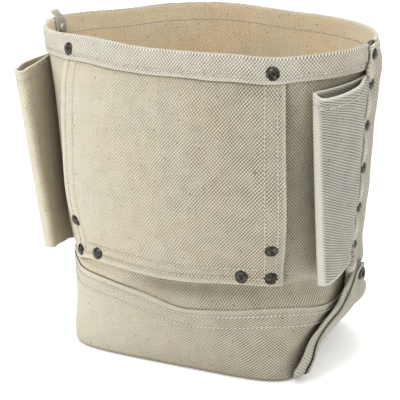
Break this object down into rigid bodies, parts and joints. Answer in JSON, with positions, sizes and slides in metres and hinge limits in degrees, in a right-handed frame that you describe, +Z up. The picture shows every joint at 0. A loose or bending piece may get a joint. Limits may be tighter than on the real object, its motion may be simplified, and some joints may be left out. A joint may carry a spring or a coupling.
{
  "type": "canvas bull-pin and bolt bag",
  "caption": "Open-topped canvas bolt bag for a work belt, with a belt tunnel on the front, a flat pin sleeve at each side seam, a double bottom and riveted corner ears.",
  "frame": {"origin": "centre of the flat base, on the surface that the bag stands on", "axes": "+Z up to the rim, +X across the width to the bag's right-hand sleeve as seen from the front, -Y to the front face with the belt tunnel"},
  "size_m": [0.2793, 0.184, 0.258],
  "materials": {
    "canvas": "undyed heavy duck canvas, diagonal weave",
    "thread": "heavy bonded thread",
    "rivet": "dark polished nickel",
    "burr": "plated washer"
  },
  "bodies": {
    "root": {"body_front": "canvas", "body_back": "canvas", "body_base": "canvas", "hem_front": "canvas", "hem_back": "canvas", "belt_tunnel": "canvas", "bottom_patch_front": "canvas", "bottom_patch_back": "canvas", "bottom_patch_base": "canvas", "ear_left": "canvas", "seam_strip_left": "canvas", "seam_tape_left": "canvas", "sleeve_tail_left": "canvas", "ear_right": "canvas", "seam_strip_right": "canvas", "seam_tape_right": "canvas", "sleeve_tail_right": "canvas", "thread_hem_front": "thread", "thread_hem_back": "thread", "thread_tunnel_sides": "thread", "thread_tunnel_bottom": "thread", "thread_patch_front": "thread", "thread_patch_back": "thread", "rivets_tunnel_top": "rivet", "burrs_tunnel_top": "burr", "rivets_tunnel_bottom": "rivet", "burrs_tunnel_bottom": "burr", "rivets_seam_left": "rivet", "burrs_seam_left": "burr", "rivets_seam_right": "rivet", "burrs_seam_right": "burr", "rivets_ear_left": "rivet", "burrs_ear_left": "burr", "rivets_ear_right": "rivet", "burrs_ear_right": "burr"},
    "sleeve_left": {"sleeve_left": "canvas", "sleeve_hem_left": "canvas", "thread_sleeve_left": "thread"},
    "sleeve_right": {"sleeve_right": "canvas", "sleeve_hem_right": "canvas", "thread_sleeve_right": "thread"}
  },
  "joints": [
    {"name": "sleeve_left_swing", "type": "hinge", "parent": "root", "child": "sleeve_left", "pos_m": [-0.12194, -0.0082, 0.084], "axis": [0.0807, 0, -0.9967], "range_deg": [-4, 75]},
    {"name": "sleeve_right_swing", "type": "hinge", "parent": "root", "child": "sleeve_right", "pos_m": [0.12194, -0.0082, 0.084], "axis": [0.0807, 0, 0.9967], "range_deg": [-2, 75]}
  ]
}
